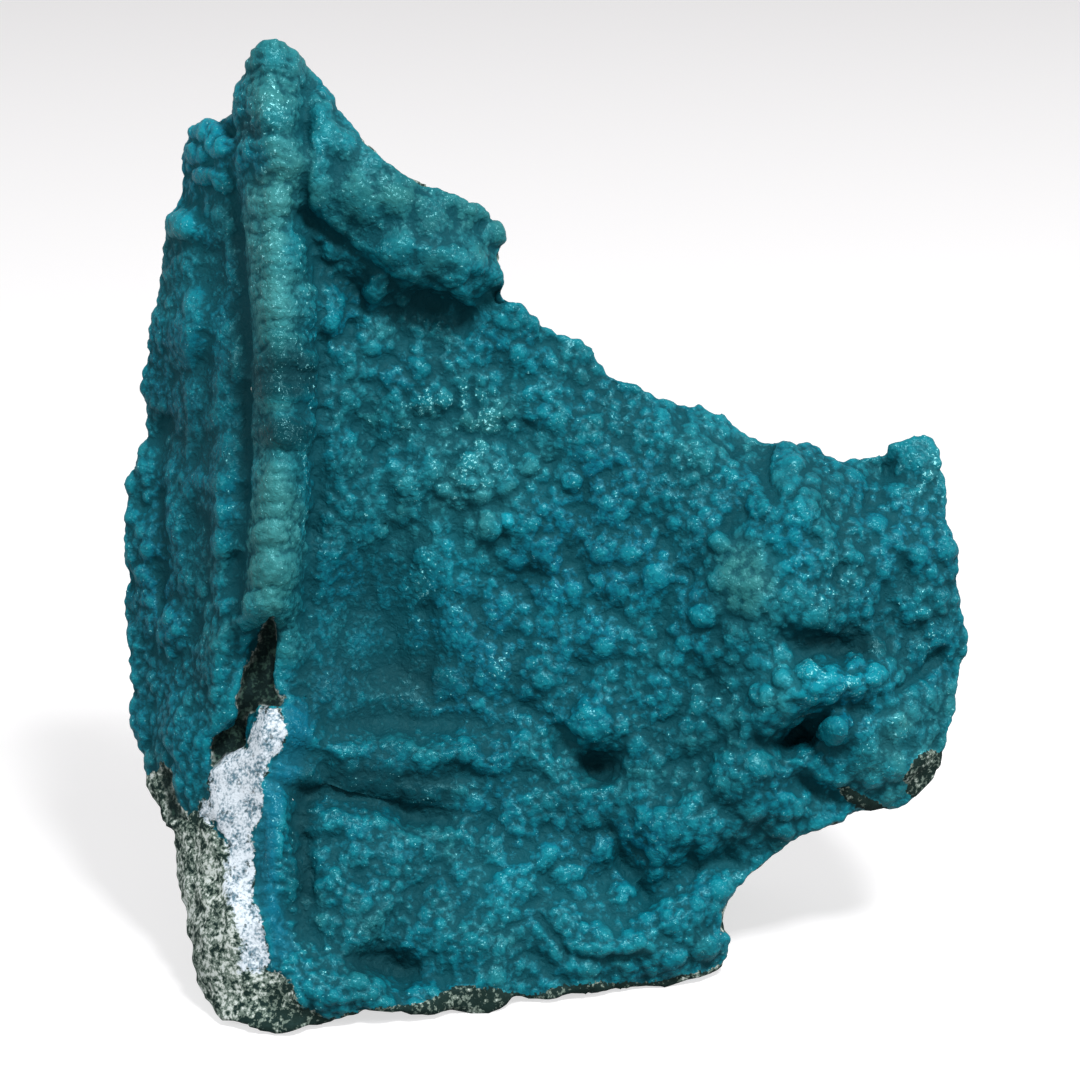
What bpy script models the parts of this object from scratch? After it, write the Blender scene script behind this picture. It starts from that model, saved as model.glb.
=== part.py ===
"""Chrysocolla with malachite: a lumpy blue-green crust on a wedge of its own rock.

The specimen is one solid. Its crusted front is drawn in the face frame, in millimetres: u runs
to the right, v runs up the leaning face and w stands out of it. The face leans back by
FACE_LEAN, and the finished stone rests on its rough base at z = 0, centred on the Z axis.
"""

import math
import random

import bmesh
import bpy
import numpy as np
from mathutils import Vector, noise
from mathutils.geometry import delaunay_2d_cdt

MM = 0.001
NODE_NAME = "chrysocolla_specimen"

# Driving dimensions, in millimetres and degrees
FACE_LEAN = math.radians(20.0)
EYE_U = 54.0
EYE_V = 54.0
EYE_DISTANCE = 400.0
GROUND_OFFSET = 5.3
EDGE_STEP = 1.15
FRONT_STEP = 1.15
BACK_STEP = 2.2
RIB_RADIUS = 3.3
RIB_RISE = 3.4
RIB_SWAY = 0.5
WING_RIB_HALF_WIDTH = 1.3
WING_RIB_RISE = 1.1
WING_RIB_NOTCH = 0.35
WING_RIB_NOTCH_PITCH = 3.3
SWELL_WARP = 1.3
SWELL_WARP_SIZE = 6.0
FACE_DRIFT = 0.6
FACE_DRIFT_SIZE = 7.0
BACK_ROUGHNESS = 1.6
CHIP_SIZE = 13.0
WALL_CHIP_SIZE = 6.0
FOOT_RELIEF = 1.7
FOOT_CELL = 3.2
SLAB_DEPTH = 40.0
TRIANGLE_TARGET = 9200

# The specimen's outline, clockwise from its peak, as (u, v)
OUTLINE = [
    (25.5, 103.0), (26.5, 103.9), (28.5, 104.0), (29.6, 103.1), (30.5, 101.8), (32.3, 99.5),
    (34.3, 96.6), (36.4, 94.8), (38.7, 92.5), (41.1, 90.7), (43.1, 89.7), (45.5, 88.8),
    (47.8, 87.6), (49.7, 86.0), (50.8, 83.9), (50.3, 82.2), (51.1, 78.4), (52.3, 77.9),
    (54.3, 75.7), (57.3, 74.2), (59.4, 73.2), (59.9, 71.9), (61.3, 70.8), (63.6, 69.6),
    (65.9, 68.4), (67.9, 67.6), (70.0, 67.7), (70.9, 66.6), (72.5, 66.6), (73.6, 65.1),
    (75.8, 64.1), (79.2, 63.5), (80.8, 64.0), (82.3, 63.5), (83.0, 62.3), (85.1, 62.2),
    (87.4, 62.6), (88.8, 63.5), (90.8, 64.1), (92.4, 64.5), (93.9, 63.6), (94.7, 61.5),
    (94.9, 56.5), (95.7, 53.8), (96.2, 50.5), (96.2, 47.8), (97.0, 43.8), (96.2, 41.0),
    (95.6, 39.0), (95.5, 36.7), (94.8, 34.2), (94.4, 31.5), (93.6, 29.7), (92.1, 28.5),
    (90.0, 27.3), (87.1, 26.9), (84.8, 26.5), (83.3, 25.5), (80.9, 24.4), (78.6, 23.1),
    (76.5, 21.5), (74.2, 19.9), (73.0, 18.4), (72.4, 16.4), (72.8, 14.6), (72.6, 11.5),
    (71.5, 10.6), (68.9, 9.9), (66.3, 9.0), (63.3, 8.7), (60.0, 8.0), (56.0, 7.7),
    (53.3, 7.8), (51.6, 8.3), (50.2, 7.0), (47.7, 6.3), (44.9, 7.0), (43.0, 6.4),
    (41.6, 6.0), (40.0, 6.9), (37.8, 5.9), (35.3, 5.5), (33.6, 4.9), (31.4, 5.3),
    (28.9, 4.6), (26.3, 4.2), (23.8, 4.9), (22.0, 5.8), (20.6, 7.2), (19.8, 8.7),
    (19.2, 11.5), (18.6, 14.3), (17.9, 18.0), (17.2, 22.0), (17.5, 24.4), (16.4, 25.9),
    (15.5, 27.8), (14.7, 29.3), (14.0, 32.5), (13.2, 36.3), (12.9, 40.0), (12.3, 44.8),
    (12.3, 48.6), (12.4, 52.6), (12.4, 57.0), (12.6, 60.2), (13.6, 62.3), (14.6, 66.4),
    (14.1, 69.9), (14.3, 72.9), (14.8, 75.4), (15.6, 79.6), (16.1, 83.7), (16.5, 86.0),
    (17.7, 88.1), (17.9, 92.6), (18.9, 94.6), (20.6, 95.9), (23.2, 96.4), (23.8, 97.8),
    (24.3, 100.0),
]

# Depth stations up the face, each giving (u, w) at the wing's far edge, the wing's middle,
# the groove, the corner under the rib, the foot of the main face, its hollow, its middle,
# the right-hand swelling and the right edge
STATIONS = {
    104: [(20, -9), (22.5, -6), (24.2, -2.0), (27.2, 0.2), (30.5, -1.6), (34, -3),
          (45, -6), (60, -11), (75, -16)],
    92: [(17, -12), (20.5, -7.5), (23.6, -2.8), (27.0, 0.2), (30.8, -1.5), (34, -2.6),
         (45, -5.5), (60, -11), (75, -16)],
    80: [(15, -14), (19.5, -8), (23.9, -2.8), (27.5, 0.4), (31.2, -2.0), (36, -4.2),
         (46, -6.5), (60, -11), (75, -16)],
    68: [(14, -15), (19, -8), (24.2, -2.4), (28.0, 0.4), (31.7, -2.4), (38, -4.8),
         (50, -7.5), (62, -10), (75, -14)],
    55: [(12, -16), (18, -8.5), (23.8, -2.4), (27.6, 0.2), (31.3, -3.0), (40, -6.5),
         (56, -8.6), (80, -6.8), (97, -12)],
    42: [(12, -16), (18, -8.5), (22.5, -3.4), (26.5, 0.2), (30.5, -3.6), (40, -7.6),
         (57, -8.8), (82, -5.6), (97, -12)],
    30: [(14, -13), (19, -6.5), (22.5, -1.8), (26.2, 0.6), (30.2, -3.4), (40, -6.2),
         (57, -7.8), (80, -6.6), (94, -12)],
    18: [(17, -9), (20, -3.5), (23, 0.0), (27, 1.0), (31, -2.6), (41, -4.4),
         (55, -6.0), (68, -8.0), (85, -14)],
    8: [(19, -4), (22, 0.2), (25, 2.2), (29, 2.0), (33, 0.4), (42, -1.2),
        (54, -4.2), (66, -8.2), (80, -13)],
    2: [(19, -2), (22, 1.6), (25, 3.4), (29, 3.2), (33, 1.6), (42, -0.2),
        (54, -3.4), (66, -7.6), (80, -12)],
}

# The rib that runs down the left of the face, as (u, v) along its crest
RIB_PATH = [(27.0, 104.5), (26.6, 96.0), (26.9, 86.0), (27.6, 76.0), (28.1, 68.0),
            (28.0, 60.0), (27.2, 52.5), (26.6, 45.0)]
RIB_CREASES = [100.0, 95.2, 90.0, 85.2, 80.3, 75.4, 70.4, 66.3, 62.6, 57.6, 53.0, 49.0]
RIB_CREASE_WIDTH = 0.8
RIB_CREASE_DEPTH = 0.7

# The fainter second rib on the left wing, and the heights between which it fades in and out
WING_RIB_PATH = [(21.8, 62.0), (21.6, 52.0), (21.8, 44.0), (21.2, 38.0)]
WING_RIB_FOOT = 37.0
WING_RIB_HEAD = 63.0

# Swellings (+) and hollows (-): (u, v, half-width, half-height, turn in degrees, rise)
SWELLS = {
    "pillow beside the peak": (40.0, 87.6, 12.5, 7.4, -33, 5.4),
    "pillow's lower roll": (44.0, 81.0, 7.5, 2.8, -12, 2.2),
    "shadow under the pillow": (40.5, 77.4, 8.0, 1.5, -20, -1.3),
    "bubble under the pillow": (37.5, 79.0, 1.3, 1.3, 0, 1.6),
    "wing's tip block": (21.2, 92.6, 2.7, 3.6, 0, 2.4),
    "wing's knob": (18.0, 85.6, 1.9, 1.9, 0, 1.9),
    "wing's upper swell": (18.6, 77.0, 2.6, 4.5, 5, 1.2),
    "wing's left hollow": (14.9, 64.8, 1.4, 2.2, 0, -1.4),
    "wing's lower hollow": (16.4, 50.0, 1.3, 2.8, 0, -1.5),
    "wing's foot swell": (17.6, 34.0, 3.0, 4.0, 0, 1.4),
    "smooth hollow of the face": (38.5, 43.0, 9.0, 10.5, 0, -1.2),
    "crease over the bar": (39.0, 35.8, 9.0, 1.2, -3, -0.8),
    "low bar across the face": (41.0, 32.2, 9.5, 1.5, 0, 1.6),
    "crease under the bar": (37.5, 28.0, 8.5, 1.4, -10, -2.4),
    "lower left swell": (35.0, 17.5, 5.0, 7.5, 12, 1.8),
    "swell by the lower edge": (33.5, 9.0, 3.8, 2.2, -8, 1.6),
    "hollow by the lower edge": (38.4, 11.6, 3.8, 1.2, -10, -2.6),
    "lip under that hollow": (42.0, 8.4, 6.0, 1.4, 5, 1.2),
    "lower middle swell": (49.0, 15.5, 4.6, 5.5, 0, 1.4),
    "pit in the middle": (60.0, 31.4, 2.4, 1.7, 20, -2.4),
    "swell over that pit": (59.5, 35.6, 4.0, 2.6, -15, 1.5),
    "slanting cleft beside the pit": (57.6, 33.6, 5.2, 0.9, -38, -1.4),
    "crease to the lower right": (61.8, 22.0, 1.4, 4.6, -38, -1.8),
    "lower right lobe": (66.0, 14.2, 6.0, 3.4, 8, 2.6),
    "lobe beside it": (58.4, 12.6, 3.2, 3.8, 0, 1.6),
    "shadow above the bite": (70.5, 21.6, 6.0, 1.7, 24, -1.8),
    "bulge above the bite": (68.0, 26.0, 6.0, 2.8, 20, 1.5),
    "swell at the right": (78.0, 51.0, 9.0, 7.5, 30, 2.2),
    "top column of lumps": (80.2, 59.6, 2.6, 4.2, 6, 2.0),
    "corner swell": (91.2, 60.4, 3.0, 3.0, 0, 1.6),
    "pit by the corner": (88.6, 61.0, 1.0, 1.2, 0, -1.8),
    "right rim swell": (93.0, 49.5, 2.6, 6.5, 0, 1.5),
    "hollow above the ledge": (83.4, 43.2, 4.2, 1.5, -4, -2.8),
    "bright ledge": (83.2, 39.4, 6.6, 2.1, 6, 3.4),
    "second ledge": (76.5, 36.6, 3.4, 1.9, 15, 1.8),
    "deep hole": (80.6, 34.4, 2.5, 1.9, 0, -4.6),
    "ball in the hole": (83.6, 34.9, 1.5, 1.5, 0, 3.4),
    "broken block": (89.4, 33.4, 4.4, 4.0, 35, 3.2),
    "hollow by the block": (81.0, 28.6, 2.4, 1.2, -15, -2.4),
    "step beside the hole": (74.0, 31.0, 4.4, 2.2, 18, 1.2),
    "cavity at the rib's end": (26.6, 41.5, 1.7, 4.3, -8, -4.0),
    "cavity's lower arm": (23.6, 34.9, 1.3, 3.4, -48, -2.8),
    "hollow of the altered zone": (23.9, 27.5, 2.7, 9.0, -6, -1.4),
    "knob of the broken crust": (30.0, 35.6, 1.4, 2.6, 0, 1.3),
    "broken rim of the crust": (27.4, 22.0, 1.0, 9.0, -3, 0.9),
    "groove beside the rim": (30.4, 20.5, 1.1, 8.0, -3, -1.1),
    "rock corner": (21.6, 14.0, 3.4, 7.0, -8, 1.5),
}
SWELL_SHARPNESS = 1.5

# Flat sides of the broken back, each w = a + b * (u - 54) + c * (v - 54)
BACK_PLANES = [(-23.8, 0.02, 0.30), (-40.0, -0.58, 0.02), (-38.5, 0.44, 0.04)]

# How far the side wall draws in at each share of its depth
WALL_RINGS = [(0.04, 0.15), (0.13, 0.45), (0.30, 0.7), (0.52, 0.9), (0.76, 1.0), (0.93, 1.35)]
WALL_INSET = 2.0
WALL_ROUGHNESS = 1.0
BACK_INSET = 4.6

# The rounded lumps of the crust: (count, smallest radius, largest radius, share raised)
CRUST_LUMPS = [(900, 1.4, 2.3, 0.44), (160, 2.4, 3.8, 0.28)]

CRUST_COLOUR = (0.018, 0.130, 0.180, 1.0)


def clear_scene():
    """Remove every object, so that only the specimen is left."""
    for old in list(bpy.data.objects):
        bpy.data.objects.remove(old, do_unlink=True)


def place(u, v, w):
    """World point of a face point; what stands nearer the eye is drawn in towards the axis."""
    draw_in = (EYE_DISTANCE - w) / EYE_DISTANCE
    x = (u - EYE_U) * draw_in
    up = (v - EYE_V) * draw_in
    y = up * math.sin(FACE_LEAN) - w * math.cos(FACE_LEAN)
    z = (up + EYE_V) * math.cos(FACE_LEAN) + w * math.sin(FACE_LEAN) - GROUND_OFFSET
    return Vector((x, y, z))


def smooth_step(t):
    """Ease from 0 to 1 as t goes from 0 to 1."""
    t = min(max(t, 0.0), 1.0)
    return t * t * (3.0 - 2.0 * t)


def spline(points, x):
    """Value at x of a smooth curve through (x, value) points, flat past its ends."""
    if x <= points[0][0]:
        return points[0][1]
    for (x0, y0), (x1, y1) in zip(points, points[1:]):
        if x <= x1:
            t = (x - x0) / (x1 - x0)
            return y0 + (y1 - y0) * (0.6 * t + 0.4 * smooth_step(t))
    return points[-1][1]


def face_depth(u, v):
    """Depth of the broad face, between the stations above and below v."""
    levels = sorted(STATIONS)
    v = min(max(v, levels[0]), levels[-1] - 0.001)
    above = next(level for level in levels if level > v)
    below = levels[levels.index(above) - 1]
    t = (v - below) / (above - below)
    section = []
    for low, high in zip(STATIONS[below], STATIONS[above]):
        section.append((low[0] + (high[0] - low[0]) * t, low[1] + (high[1] - low[1]) * t))
    return spline(section, u)


def path_u(path, v):
    """Where a path that runs down the face stands at height v."""
    return spline(sorted((pv, pu) for pu, pv in path), v)


def rib_height(u, v):
    """Rise of the rib, which is pinched by a crease every few millimetres."""
    end = smooth_step((v - 44.5) / 2.5)
    sway = RIB_SWAY * noise.noise(Vector((v / 6.0, 2.0, 31.0)))
    beside = u - path_u(RIB_PATH, v)
    across = abs(beside - sway)
    slant = 0.5 * beside * sway
    pinch = max(math.exp(-((v + slant - crease) / RIB_CREASE_WIDTH) ** 2) for crease in RIB_CREASES)
    pinch *= 0.65 + 0.7 * abs(noise.noise(Vector((v / 5.0, 9.0, 37.0))))
    radius = RIB_RADIUS * (1.0 - 0.10 * pinch)
    if across >= radius:
        return 0.0
    round_top = math.sqrt(1.0 - (across / radius) ** 2)
    return end * (RIB_RISE * round_top - RIB_CREASE_DEPTH * pinch * round_top)


def wing_rib_height(u, v):
    """Rise of the fainter rib on the wing, notched all the way down."""
    if not WING_RIB_FOOT < v < WING_RIB_HEAD:
        return 0.0
    across = (u - path_u(WING_RIB_PATH, v)) / WING_RIB_HALF_WIDTH
    ends = smooth_step((v - WING_RIB_FOOT) / 3.0) * smooth_step((WING_RIB_HEAD - v) / 4.0)
    notch = WING_RIB_NOTCH * math.sin(v * 2.0 * math.pi / WING_RIB_NOTCH_PITCH)
    return ends * math.exp(-across * across) * (WING_RIB_RISE + notch)


def swell_height(u, v):
    """Sum of the named swellings and hollows at a point."""
    total = 0.0
    u += SWELL_WARP * noise.noise(Vector((u / SWELL_WARP_SIZE, v / SWELL_WARP_SIZE, 41.0)))
    v += SWELL_WARP * noise.noise(Vector((u / SWELL_WARP_SIZE, v / SWELL_WARP_SIZE, 43.0)))
    for at_u, at_v, half_u, half_v, turn, rise in SWELLS.values():
        angle = math.radians(turn)
        du = u - at_u
        dv = v - at_v
        along = (du * math.cos(angle) + dv * math.sin(angle)) / half_u
        across = (dv * math.cos(angle) - du * math.sin(angle)) / half_v
        reach = along * along + across * across
        if reach < 5.0:
            total += rise * math.exp(-reach ** SWELL_SHARPNESS * 0.9)
    return total


def crust_lumps():
    """Centres and radii of the rounded lumps, spread over the face with room between them."""
    draw = random.Random(7)
    lumps = []
    for count, smallest, largest, share in CRUST_LUMPS:
        for _ in range(count):
            at = (draw.uniform(12.0, 97.0), draw.uniform(4.0, 104.0))
            lumps.append((at[0], at[1], draw.uniform(smallest, largest), share))
    return np.array(lumps)


def lump_height(u, v, lumps):
    """Rise of the tallest lump over a point."""
    gap = np.hypot(lumps[:, 0] - u, lumps[:, 1] - v)
    radius = lumps[:, 2]
    cap = np.sqrt(np.clip(1.0 - (gap / radius) ** 2, 0.0, None))
    return float(np.max(cap * radius * lumps[:, 3]))


def lump_share(u, v):
    """How much of the lumps shows: little on the smooth hollow, the rib and the bare rock."""
    smooth_hollow = math.exp(-((u - 38.0) / 8.0) ** 2 - ((v - 43.0) / 11.0) ** 2)
    rib = math.exp(-((u - path_u(RIB_PATH, v)) / 2.6) ** 2)
    rock = smooth_step((29.0 - u) / 2.0) * smooth_step((40.0 - v) / 4.0)
    return max(0.0, 1.0 - 0.75 * smooth_hollow - 0.7 * rib) * (1.0 - rock)


def front_depth(u, v, lumps):
    """Depth of the crusted front."""
    relief = rib_height(u, v) + wing_rib_height(u, v) + swell_height(u, v)
    fine = lump_height(u, v, lumps) * lump_share(u, v)
    drift = FACE_DRIFT * noise.noise(Vector((u / FACE_DRIFT_SIZE, v / FACE_DRIFT_SIZE, 3.0)))
    return face_depth(u, v) + relief + fine + drift


def chipped(u, v, size, seed):
    """Height of a surface split into tilted chips about one size across, within about -1 to 1."""
    spot = Vector((u / size, v / size, seed))
    gaps, centres = noise.voronoi(spot)
    heights = []
    for centre in centres[:2]:
        lean = noise.cell_vector(centre * 7.3)
        across = spot - centre
        slope = (lean.x - 0.5) * across.x + (lean.y - 0.5) * across.y
        heights.append(1.2 * lean.z - 0.6 + 1.5 * slope)
    share = smooth_step(0.5 + 2.2 * (gaps[1] - gaps[0]))
    return heights[0] * share + heights[1] * (1.0 - share)


def back_depth(u, v):
    """Depth of the broken back: flat sides, stepped where the rock has split."""
    flat = max(a + b * (u - 54.0) + c * (v - 54.0) for a, b, c in BACK_PLANES)
    coarse = noise.noise(Vector((u / 14.0, v / 11.0, 11.0)))
    fine = noise.noise(Vector((u / 4.0, v / 4.5, 17.0)))
    chips = chipped(u, v, CHIP_SIZE, 3.0) + 0.4 * chipped(u, v, CHIP_SIZE * 0.45, 8.0)
    return flat + BACK_ROUGHNESS * (1.4 * coarse + 1.2 * chips + 0.3 * fine)


def closed_curve(points, step):
    """Points about one step apart along a smooth closed curve through the given points."""
    curve = []
    count = len(points)
    for i in range(count):
        p0, p1, p2, p3 = (Vector(points[(i + k - 1) % count]) for k in range(4))
        pieces = max(1, round((p2 - p1).length / step))
        for k in range(pieces):
            t = k / pieces
            bend = (p2 - p0) * t + (2.0 * p0 - 5.0 * p1 + 4.0 * p2 - p3) * t * t
            bend += (3.0 * p1 - p0 - 3.0 * p2 + p3) * t ** 3
            curve.append(p1 + bend * 0.5)
    return curve


def eased(points, rounds):
    """The closed curve with its small teeth rubbed off."""
    count = len(points)
    for _ in range(rounds):
        points = [(points[i - 1] + points[i] * 2.0 + points[(i + 1) % count]) * 0.25
                  for i in range(count)]
    return points


def inward(points):
    """Unit vectors that point into a clockwise closed curve."""
    count = len(points)
    result = []
    for i in range(count):
        run = points[(i + 1) % count] - points[i - 1]
        result.append(Vector((run.y, -run.x)).normalized())
    return result


def fill(edge, step, seed):
    """Triangles that fill a closed curve, on a jittered honeycomb of points.

    Returns the points, with the curve's own points first, and the triangles.
    """
    draw = random.Random(seed)
    count = len(edge)
    points = [point.copy() for point in edge]
    low_u, high_u = min(p.x for p in edge), max(p.x for p in edge)
    low_v, high_v = min(p.y for p in edge), max(p.y for p in edge)
    ring = np.array([(p.x, p.y) for p in edge])
    rows = int((high_v - low_v) / (step * 0.866)) + 1
    for row in range(rows):
        v = low_v + row * step * 0.866
        for column in range(int((high_u - low_u) / step) + 1):
            u = low_u + (column + 0.5 * (row % 2)) * step
            u_now = u + draw.uniform(-0.12, 0.12) * step
            v_now = v + draw.uniform(-0.12, 0.12) * step
            nearest = np.min(np.hypot(ring[:, 0] - u_now, ring[:, 1] - v_now))
            if nearest > 0.62 * step:
                points.append(Vector((u_now, v_now)))
    outer = [list(range(count))]
    verts, _, faces, origins, _, _ = delaunay_2d_cdt(points, [], outer, 1, 1e-6)
    order = {}
    for new, olds in enumerate(origins):
        order[new] = min(olds)
    used = sorted({order[i] for face in faces for i in face})
    slots = {old: k for k, old in enumerate(used)}
    kept = [points[old] for old in used]
    triangles = [[slots[order[i]] for i in face] for face in faces]
    return kept, triangles


def build_stone():
    """Mesh of the specimen: crusted front, rough side wall and broken back."""
    lumps = crust_lumps()
    edge = closed_curve(OUTLINE, EDGE_STEP)
    count = len(edge)
    into = inward(eased(edge, 6))
    back_edge = eased(edge, 160)
    back_into = inward(back_edge)
    for i, point in enumerate(back_edge):
        ragged = 1.2 * noise.noise(Vector((point.x / 7.0, point.y / 7.0, 23.0)))
        back_edge[i] = point + back_into[i] * (BACK_INSET + ragged)
    back_edge = eased(back_edge, 6)

    front_points, front_faces = fill(edge, FRONT_STEP, 1)
    back_points, back_faces = fill(back_edge, BACK_STEP, 2)

    stone = bmesh.new()
    front = []
    for point in front_points:
        depth = front_depth(point.x, point.y, lumps)
        front.append(stone.verts.new(place(point.x, point.y, depth)))
    back = []
    for point in back_points:
        back.append(stone.verts.new(place(point.x, point.y, back_depth(point.x, point.y))))

    rings = [front[:count]]
    for share, draw_in in WALL_RINGS:
        ring = []
        for i in range(count):
            start, end = edge[i], back_edge[i]
            pull = smooth_step(share) * 0.55
            at = start.lerp(end, pull) + into[i] * (WALL_INSET * draw_in * (1.0 - share))
            w_front = front_depth(start.x, start.y, lumps)
            w_back = back_depth(end.x, end.y)
            depth = w_front + (w_back - w_front) * share
            rough = chipped(i * EDGE_STEP, depth, WALL_CHIP_SIZE, 13.0)
            rough += 0.6 * noise.noise(Vector((at.x / 3.5, at.y / 3.5, depth / 4.5)))
            at = at + into[i] * (WALL_ROUGHNESS * rough * min(1.0, share * 4.0))
            ring.append(stone.verts.new(place(at.x, at.y, depth)))
        rings.append(ring)
    rings.append(back[:count])

    for face in front_faces:
        stone.faces.new([front[i] for i in face])
    for face in back_faces:
        stone.faces.new([back[i] for i in reversed(face)])
    for near, far in zip(rings, rings[1:]):
        for i in range(count):
            k = (i + 1) % count
            stone.faces.new((near[i], near[k], far[k]))
            stone.faces.new((near[i], far[k], far[i]))
    bmesh.ops.recalc_face_normals(stone, faces=stone.faces)
    return stone


def ground_cutter(low, high):
    """A slab under the stone whose lumpy top leaves flat feet at z = 0 and hollows between."""
    slab = bmesh.new()
    columns = int((high.x - low.x) / FOOT_CELL) + 2
    rows = int((high.y - low.y) / FOOT_CELL) + 2
    grid = []
    for row in range(rows + 1):
        line = []
        for column in range(columns + 1):
            x = low.x + (column - 0.5) * FOOT_CELL
            y = low.y + (row - 0.5) * FOOT_CELL
            lift = noise.noise(Vector((x / 11.0, y / 9.0, 5.0))) * 2.6 - 0.1
            line.append(slab.verts.new((x, y, min(max(lift, 0.0), 1.0) * FOOT_RELIEF)))
        grid.append(line)
    top = []
    for row in range(rows):
        for column in range(columns):
            a, b = grid[row][column], grid[row][column + 1]
            c, d = grid[row + 1][column + 1], grid[row + 1][column]
            top.append(slab.faces.new((a, b, c)))
            top.append(slab.faces.new((a, c, d)))
    sunk = bmesh.ops.extrude_face_region(slab, geom=top)
    for vert in (item for item in sunk["geom"] if isinstance(item, bmesh.types.BMVert)):
        vert.co.z = -SLAB_DEPTH
    bmesh.ops.recalc_face_normals(slab, faces=slab.faces)
    return slab


def to_object(shape, name):
    """Turn a shape drawn in millimetres into an object in metres."""
    bmesh.ops.scale(shape, vec=(MM, MM, MM), verts=shape.verts)
    mesh = bpy.data.meshes.new(name)
    shape.to_mesh(mesh)
    shape.free()
    thing = bpy.data.objects.new(name, mesh)
    bpy.context.scene.collection.objects.link(thing)
    return thing


def apply_modifiers(thing):
    """Make the object's modifiers part of its mesh."""
    bpy.context.view_layer.objects.active = thing
    for modifier in list(thing.modifiers):
        bpy.ops.object.modifier_apply(modifier=modifier.name)


def crust_material():
    """Waxy blue-green chrysocolla."""
    material = bpy.data.materials.new("chrysocolla")
    material.use_nodes = True
    shader = material.node_tree.nodes["Principled BSDF"]
    shader.inputs["Base Color"].default_value = CRUST_COLOUR
    shader.inputs["Roughness"].default_value = 0.38
    shader.inputs["Metallic"].default_value = 0.0
    material.diffuse_color = CRUST_COLOUR
    return material


def main():
    """Build the specimen, cut its feet flat and centre it over the origin."""
    clear_scene()
    stone = build_stone()
    low = Vector([min(v.co[k] for v in stone.verts) for k in range(3)])
    high = Vector([max(v.co[k] for v in stone.verts) for k in range(3)])
    cutter = to_object(ground_cutter(low, high), "ground_cutter")
    cutter.hide_render = True
    cutter.display_type = "WIRE"

    specimen = to_object(stone, NODE_NAME)
    thin = specimen.modifiers.new("fewer_faces", "DECIMATE")
    thin.ratio = TRIANGLE_TARGET / len(specimen.data.polygons)
    cut = specimen.modifiers.new("foot", "BOOLEAN")
    cut.object = cutter
    cut.operation = "DIFFERENCE"
    cut.solver = "EXACT"
    apply_modifiers(specimen)

    corners = np.array([vert.co for vert in specimen.data.vertices])
    middle = (corners.min(axis=0) + corners.max(axis=0)) / 2.0
    for vert in specimen.data.vertices:
        vert.co.x -= middle[0]
        vert.co.y -= middle[1]
    specimen.data.materials.append(crust_material())
    print("centred by", middle, "triangles", len(specimen.data.polygons))


main()
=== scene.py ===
"""Looks of a chrysocolla specimen with malachite: bubbly blue-green crust on speckled rock.

The stone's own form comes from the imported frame. Here its surface is refined, bubbles are grown
on the crust, the broken rock is roughened, and both are coloured by what they are and where
they are. Face millimetres (u to the right, v up the leaning face, w out of it) name the places.
"""

from __future__ import annotations

import logging
import math
import random
from dataclasses import dataclass
from enum import Enum

import bmesh
import bpy
import numpy as np
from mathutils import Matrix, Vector, kdtree


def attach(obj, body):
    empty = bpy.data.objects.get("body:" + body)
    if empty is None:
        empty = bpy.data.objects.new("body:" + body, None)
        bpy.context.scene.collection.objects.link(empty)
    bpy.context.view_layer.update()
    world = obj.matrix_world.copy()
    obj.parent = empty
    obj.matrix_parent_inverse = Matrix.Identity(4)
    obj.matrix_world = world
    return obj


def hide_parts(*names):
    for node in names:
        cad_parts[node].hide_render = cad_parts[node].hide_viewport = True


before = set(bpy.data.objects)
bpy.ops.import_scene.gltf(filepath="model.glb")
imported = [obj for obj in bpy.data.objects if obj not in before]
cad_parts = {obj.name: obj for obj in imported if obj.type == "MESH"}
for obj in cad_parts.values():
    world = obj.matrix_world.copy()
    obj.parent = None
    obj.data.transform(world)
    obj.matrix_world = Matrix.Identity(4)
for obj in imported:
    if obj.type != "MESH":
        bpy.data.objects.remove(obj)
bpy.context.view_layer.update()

NODE = "chrysocolla_specimen"
MM = 0.001
LOG = logging.getLogger("specimen")

Array = np.ndarray
Mesh = bpy.types.Mesh
Socket = bpy.types.NodeSocket
Colour = tuple[float, float, float, float]
Place = tuple[float, float, float]

# How the face lies in the frame, and the eye that it was drawn from, in millimetres
FACE_LEAN = math.radians(20.0)
EYE_U = 54.0
EYE_V = 54.0
EYE_DISTANCE = 400.0
GROUND_OFFSET = 5.3
CENTRED_BY = (0.457, 3.499)
PICTURE_SIDE = 108.0


class Layer(Enum):
    """What a place on the stone is like, by the name of its vertex attribute.

    CAVITY is above 0 in a hollow painted near black as its shade, and below 0 where the broken rock is
    darker.
    """

    CRUST = "crust"
    WHITE = "white"
    CAVITY = "cavity"
    TONE = "tone_and_shade"
    HUE = "hue"
    TINT = "tint"
    RIM = "rim"
    # Where glints are painted
    SPARKLE = "sparkle"
    INNER = "inner"
    # SUNK_NEAR and SUNK_WIDE drive painted shade in hollows and painted light on tops
    SUNK_NEAR = "sunk_near"
    SUNK_WIDE = "sunk_wide"


class Wave(Enum):
    """A noise by what it shapes: its waves' width in millimetres, its seed and its height."""

    SKIN_DEPTH = (5.0, 1, 0.5)
    EDGE_FINE = (1.1, 4, 0.7)
    EDGE_WIDE = (3.0, 6, 1.0)
    GRIT_FINE = (0.9, 14, 0.20)
    GRIT_MIDDLE = (2.6, 19, 0.34)
    GRIT_WIDE = (5.5, 24, 0.7)
    BACK_FACETS = (9.0, 27, 0.9)
    BACK_GRIT = (3.6, 28, 0.4)
    TONE_WIDE = (6.0, 31, 0.25)
    TONE_FINE = (2.0, 33, 0.20)
    HUE_WIDE = (5.0, 35, 0.35)
    HUE_FINE = (1.6, 37, 0.30)
    RIB_BOW = (2.5, 51, 0.45)
    RIB_FINE = (1.6, 52, 0.5)
    COLUMNS = (1.7, 61, 1.0)


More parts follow.
